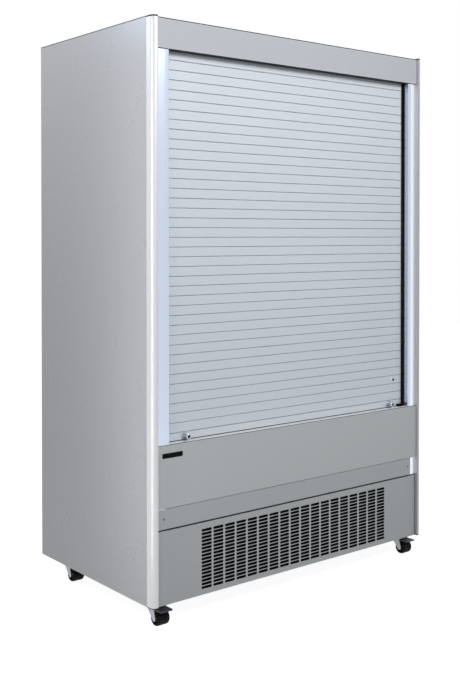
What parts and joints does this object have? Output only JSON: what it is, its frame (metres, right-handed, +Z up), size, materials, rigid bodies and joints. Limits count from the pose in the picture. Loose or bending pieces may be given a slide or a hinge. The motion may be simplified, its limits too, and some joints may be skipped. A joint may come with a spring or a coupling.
{
  "type": "display fridge",
  "caption": "Upright refrigerated display cabinet with a slatted roller shutter over its open front, shelves inside and four castors.",
  "frame": {"origin": "on the floor, under the middle of the cabinet's bounding box", "axes": "+X to the right as seen from the front, +Y from the front to the back, +Z up"},
  "size_m": [1.32, 0.75, 2.007],
  "materials": {
    "panel_grey": "satin",
    "post_white": "satin",
    "cap_dark": "matte",
    "front_grey": "satin",
    "canopy_grey": "satin",
    "jamb_light": "satin",
    "guide_silver": "satin",
    "black_brush": "matte",
    "slat_silver": "satin",
    "sill_dark": "satin",
    "lock_chrome": "polished",
    "lock_black": "satin",
    "seal_rubber": "matte",
    "liner_white": "satin",
    "foam_white": "satin",
    "galvanised": "satin",
    "chassis_black": "matte",
    "fin_aluminium": "satin",
    "compressor_black": "gloss",
    "fan_plastic": "matte",
    "tray_plastic": "matte",
    "lamp_opal": "gloss",
    "castor_zinc": "satin",
    "wheel_black": "satin",
    "pedal_black": "satin"
  },
  "bodies": {
    "cabinet": {"side_panel_left": "panel_grey", "side_panel_right": "panel_grey", "back_panel": "foam_white", "roof_panel": "panel_grey", "insulated_tank": "foam_white", "corner_posts": "post_white", "post_end_caps": "cap_dark", "canopy_fascia": "canopy_grey", "riser_panel": "front_grey", "service_strip": "front_grey", "lower_grille": "front_grey", "jamb_profiles": "jamb_light", "sill_trim": "sill_dark", "guide_rails": "guide_silver", "guide_brushes": "black_brush", "shutter_curtain": "slat_silver", "barrel_brackets": "galvanised", "shutter_box": "liner_white", "discharge_grille": "fan_plastic", "ceiling_panel": "liner_white", "rear_duct_panel": "liner_white", "return_air_grille": "liner_white", "base_deck": "liner_white", "fan_plate": "galvanised", "evaporator_coil": "fin_aluminium", "slotted_uprights": "liner_white", "shelf_brackets": "liner_white", "shelf_1": "liner_white", "shelf_2": "liner_white", "shelf_3": "liner_white", "shelf_4": "liner_white", "led_lamp": "lamp_opal", "base_chassis": "chassis_black", "rear_grille": "galvanised", "compressor": "compressor_black", "condenser_coil": "fin_aluminium", "drip_tray": "tray_plastic", "control_box": "tray_plastic", "castor_plates": "castor_zinc"},
    "shutter": {"lower_slats": "slat_silver", "bottom_bar": "slat_silver", "bottom_seal": "seal_rubber", "lock_bodies": "lock_chrome"},
    "left_lock_plug": {"lock_plug_left": "lock_black"},
    "right_lock_plug": {"lock_plug_right": "lock_black"},
    "slat_lock": {"slat_lock_plug": "lock_black"},
    "barrel": {"roller_barrel": "galvanised"},
    "evaporator_rotor_1": {"evaporator_fan_1": "fan_plastic"},
    "evaporator_rotor_2": {"evaporator_fan_2": "fan_plastic"},
    "condenser_rotor": {"condenser_fan": "fan_plastic"},
    "castor_front_left": {"castor_fork_front_left": "castor_zinc"},
    "wheel_front_left": {"castor_wheel_front_left": "wheel_black"},
    "castor_front_right": {"castor_fork_front_right": "castor_zinc"},
    "wheel_front_right": {"castor_wheel_front_right": "wheel_black"},
    "castor_rear_left": {"castor_fork_rear_left": "castor_zinc"},
    "wheel_rear_left": {"castor_wheel_rear_left": "wheel_black"},
    "castor_rear_right": {"castor_fork_rear_right": "castor_zinc"},
    "wheel_rear_right": {"castor_wheel_rear_right": "wheel_black"},
    "pedal_front_left": {"brake_pedal_front_left": "pedal_black"},
    "pedal_front_right": {"brake_pedal_front_right": "pedal_black"}
  },
  "joints": [
    {"name": "shutter_lift", "type": "slide", "parent": "cabinet", "child": "shutter", "axis": [0, 0, 1], "range_m": [0, 1.155], "deforming": ["shutter_curtain"]},
    {"name": "barrel_turn", "type": "hinge", "parent": "cabinet", "child": "barrel", "pos_m": [0, -0.265, 1.882], "axis": [-1, 0, 0], "range_deg": [0, 1150]},
    {"name": "left_lock_turn", "type": "hinge", "parent": "shutter", "child": "left_lock_plug", "pos_m": [-0.505, -0.335, 0.618], "axis": [0, 1, 0], "range_deg": [0, 90]},
    {"name": "right_lock_turn", "type": "hinge", "parent": "shutter", "child": "right_lock_plug", "pos_m": [0.505, -0.335, 0.618], "axis": [0, -1, 0], "range_deg": [0, 90]},
    {"name": "slat_lock_turn", "type": "hinge", "parent": "shutter", "child": "slat_lock", "pos_m": [0.536, -0.335, 0.71177], "axis": [0, -1, 0], "range_deg": [0, 90]},
    {"name": "evaporator_spin_1", "type": "hinge", "parent": "cabinet", "child": "evaporator_rotor_1", "pos_m": [-0.28, -0.0435, 0.5145], "axis": [0, 1, 0], "continuous": true},
    {"name": "evaporator_spin_2", "type": "hinge", "parent": "cabinet", "child": "evaporator_rotor_2", "pos_m": [0.28, -0.0435, 0.5145], "axis": [0, 1, 0], "continuous": true},
    {"name": "condenser_spin", "type": "hinge", "parent": "cabinet", "child": "condenser_rotor", "pos_m": [-0.33, -0.209, 0.195], "axis": [0, 1, 0], "continuous": true},
    {"name": "swivel_front_left", "type": "hinge", "parent": "cabinet", "child": "castor_front_left", "pos_m": [-0.603, -0.311, 0.066], "axis": [0, 0, 1], "continuous": true},
    {"name": "roll_front_left", "type": "hinge", "parent": "castor_front_left", "child": "wheel_front_left", "pos_m": [-0.603, -0.334, 0.025], "axis": [1, 0, 0], "continuous": true},
    {"name": "brake_front_left", "type": "hinge", "parent": "castor_front_left", "child": "pedal_front_left", "pos_m": [-0.603, -0.329, 0.055], "axis": [-1, 0, 0], "range_deg": [0, 20]},
    {"name": "swivel_front_right", "type": "hinge", "parent": "cabinet", "child": "castor_front_right", "pos_m": [0.603, -0.311, 0.066], "axis": [0, 0, 1], "continuous": true},
    {"name": "roll_front_right", "type": "hinge", "parent": "castor_front_right", "child": "wheel_front_right", "pos_m": [0.603, -0.334, 0.025], "axis": [1, 0, 0], "continuous": true},
    {"name": "brake_front_right", "type": "hinge", "parent": "castor_front_right", "child": "pedal_front_right", "pos_m": [0.603, -0.329, 0.055], "axis": [-1, 0, 0], "range_deg": [0, 20]},
    {"name": "swivel_rear_left", "type": "hinge", "parent": "cabinet", "child": "castor_rear_left", "pos_m": [-0.603, 0.239, 0.066], "axis": [0, 0, 1], "continuous": true},
    {"name": "roll_rear_left", "type": "hinge", "parent": "castor_rear_left", "child": "wheel_rear_left", "pos_m": [-0.603, 0.216, 0.025], "axis": [1, 0, 0], "continuous": true},
    {"name": "swivel_rear_right", "type": "hinge", "parent": "cabinet", "child": "castor_rear_right", "pos_m": [0.603, 0.239, 0.066], "axis": [0, 0, 1], "continuous": true},
    {"name": "roll_rear_right", "type": "hinge", "parent": "castor_rear_right", "child": "wheel_rear_right", "pos_m": [0.603, 0.216, 0.025], "axis": [1, 0, 0], "continuous": true}
  ],
  "couplings": [
    {"joint": "barrel_turn", "follows": "shutter_lift", "rad_per_m": 17.2}
  ]
}
